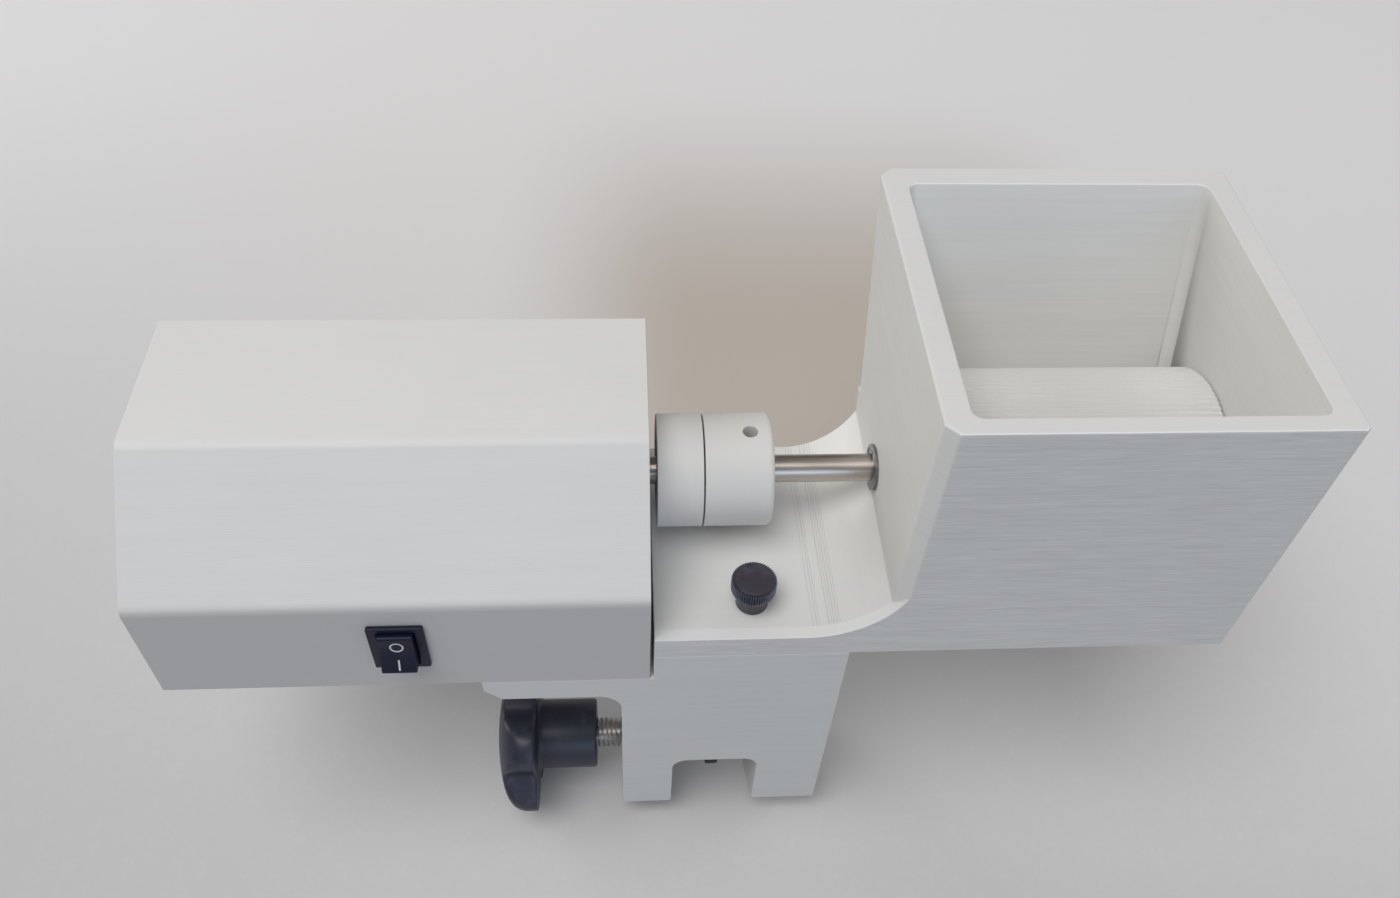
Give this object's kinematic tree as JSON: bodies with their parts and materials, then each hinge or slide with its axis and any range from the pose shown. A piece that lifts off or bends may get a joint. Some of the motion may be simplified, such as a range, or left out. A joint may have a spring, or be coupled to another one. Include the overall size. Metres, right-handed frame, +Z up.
{
  "type": "motor-driven roller spaetzle maker",
  "caption": "Printed kitchen machine: a motor box turns a ribbed roller under a dough hopper over a strainer, on a bracket with a clamp screw for a pot rim.",
  "frame": {"origin": "centre of the ceiling of the clamp bracket's slot, where the pot's rim seats", "axes": "+X along the roller's shaft from the motor box to the hopper, +Y from the switch side to the back, +Z up"},
  "size_m": [0.3015, 0.1064, 0.1934],
  "materials": {
    "white_print": "matte, printed layers",
    "screw_steel": "satin",
    "shaft_steel": "brushed along its length",
    "bearing_steel": "polished",
    "black_steel": "black oxide",
    "gearbox_metal": "satin",
    "gear_steel": "ground",
    "can_steel": "zinc plated",
    "magnet": "dull",
    "brass": "satin",
    "black_plastic": "fine satin",
    "black_rubber": "dull",
    "lead_sheath": "smooth"
  },
  "bodies": {
    "frame": {"hopper_body": "white_print", "strainer": "white_print", "strainer_screws": "screw_steel", "left_bearing": "bearing_steel", "right_bearing": "bearing_steel", "motor_cover": "white_print", "motor_base": "white_print", "cover_screws": "screw_steel", "arm_screws": "screw_steel", "arm_nuts": "screw_steel", "motor_screws": "screw_steel", "gearbox_front": "gearbox_metal", "output_bearing": "bearing_steel", "ring_gear": "gearbox_metal", "gearbox_back": "gearbox_metal", "gearbox_screws": "screw_steel", "motor_can": "can_steel", "motor_magnets": "magnet", "motor_end_cap": "black_plastic", "switch_body": "black_plastic", "switch_terminals": "brass", "dc_jack": "black_plastic", "dc_jack_nut": "screw_steel", "leads": "lead_sheath", "clamp_bracket": "white_print", "plate_insert": "brass", "clamp_nut": "screw_steel"},
    "drive": {"output_carrier": "shaft_steel", "motor_coupling": "white_print", "shaft_coupling": "white_print", "coupling_grub_screws": "black_steel", "drive_shaft": "shaft_steel", "roller": "white_print", "roller_pin": "screw_steel"},
    "first_stage": {"first_carrier": "gear_steel"},
    "armature": {"rotor": "gear_steel", "motor_pinion": "brass"},
    "rocker": {"switch_rocker": "black_plastic"},
    "thumb_thread": {"thumb_stud": "screw_steel"},
    "thumb_head": {"thumb_knob": "black_plastic"},
    "pad": {"clamp_pad": "black_rubber"},
    "clamp_screw": {"clamp_spindle": "screw_steel", "star_knob": "black_plastic"},
    "output_planet_1": {"output_planet_1": "gear_steel"},
    "first_planet_1": {"first_planet_1": "gear_steel"},
    "output_planet_2": {"output_planet_2": "gear_steel"},
    "first_planet_2": {"first_planet_2": "gear_steel"},
    "output_planet_3": {"output_planet_3": "gear_steel"},
    "first_planet_3": {"first_planet_3": "gear_steel"}
  },
  "joints": [
    {"name": "roller_turn", "type": "hinge", "parent": "frame", "child": "drive", "pos_m": [-0.0214, 0.027, 0.091], "axis": [1, 0, 0], "continuous": true},
    {"name": "first_stage_turn", "type": "hinge", "parent": "frame", "child": "first_stage", "pos_m": [-0.0464, 0.027, 0.091], "axis": [1, 0, 0], "continuous": true},
    {"name": "armature_turn", "type": "hinge", "parent": "frame", "child": "armature", "pos_m": [-0.0814, 0.027, 0.091], "axis": [1, 0, 0], "continuous": true},
    {"name": "output_planet_1_turn", "type": "hinge", "parent": "drive", "child": "output_planet_1", "pos_m": [-0.0414, 0.0378, 0.091], "axis": [1, 0, 0], "continuous": true},
    {"name": "first_planet_1_turn", "type": "hinge", "parent": "first_stage", "child": "first_planet_1", "pos_m": [-0.0514, 0.0378, 0.091], "axis": [1, 0, 0], "continuous": true},
    {"name": "output_planet_2_turn", "type": "hinge", "parent": "drive", "child": "output_planet_2", "pos_m": [-0.0414, 0.0216, 0.10035], "axis": [1, 0, 0], "continuous": true},
    {"name": "first_planet_2_turn", "type": "hinge", "parent": "first_stage", "child": "first_planet_2", "pos_m": [-0.0514, 0.0216, 0.10035], "axis": [1, 0, 0], "continuous": true},
    {"name": "output_planet_3_turn", "type": "hinge", "parent": "drive", "child": "output_planet_3", "pos_m": [-0.0414, 0.0216, 0.08165], "axis": [1, 0, 0], "continuous": true},
    {"name": "first_planet_3_turn", "type": "hinge", "parent": "first_stage", "child": "first_planet_3", "pos_m": [-0.0514, 0.0216, 0.08165], "axis": [1, 0, 0], "continuous": true},
    {"name": "rocker_tilt", "type": "hinge", "parent": "frame", "child": "rocker", "pos_m": [-0.0889, -0.0168, 0.073], "axis": [1, 0, 0], "range_deg": [0, 24]},
    {"name": "pad_slide", "type": "slide", "parent": "frame", "child": "pad", "axis": [1, 0, 0], "range_m": [-0.01, 0.008]},
    {"name": "clamp_screw_turn", "type": "hinge", "parent": "pad", "child": "clamp_screw", "pos_m": [-0.0414, 0, -0.0136], "axis": [1, 0, 0], "range_deg": [-2400, 1920]},
    {"name": "thumb_lift", "type": "slide", "parent": "frame", "child": "thumb_thread", "axis": [0, 0, 1], "range_m": [0, 0.017]},
    {"name": "thumb_turn", "type": "hinge", "parent": "thumb_thread", "child": "thumb_head", "pos_m": [0.0073, -0.0057, 0.081], "axis": [0, 0, 1], "range_deg": [0, 6121]}
  ],
  "couplings": [
    {"joint": "first_stage_turn", "follows": "roller_turn", "ratio": 4},
    {"joint": "armature_turn", "follows": "roller_turn", "ratio": 16},
    {"joint": "output_planet_1_turn", "follows": "roller_turn", "ratio": -3},
    {"joint": "first_planet_1_turn", "follows": "roller_turn", "ratio": -12},
    {"joint": "output_planet_2_turn", "follows": "roller_turn", "ratio": -3},
    {"joint": "first_planet_2_turn", "follows": "roller_turn", "ratio": -12},
    {"joint": "output_planet_3_turn", "follows": "roller_turn", "ratio": -3},
    {"joint": "first_planet_3_turn", "follows": "roller_turn", "ratio": -12},
    {"joint": "pad_slide", "follows": "clamp_screw_turn", "m_per_rad": 0.00023873},
    {"joint": "thumb_turn", "follows": "thumb_lift", "rad_per_m": 6283.2}
  ]
}
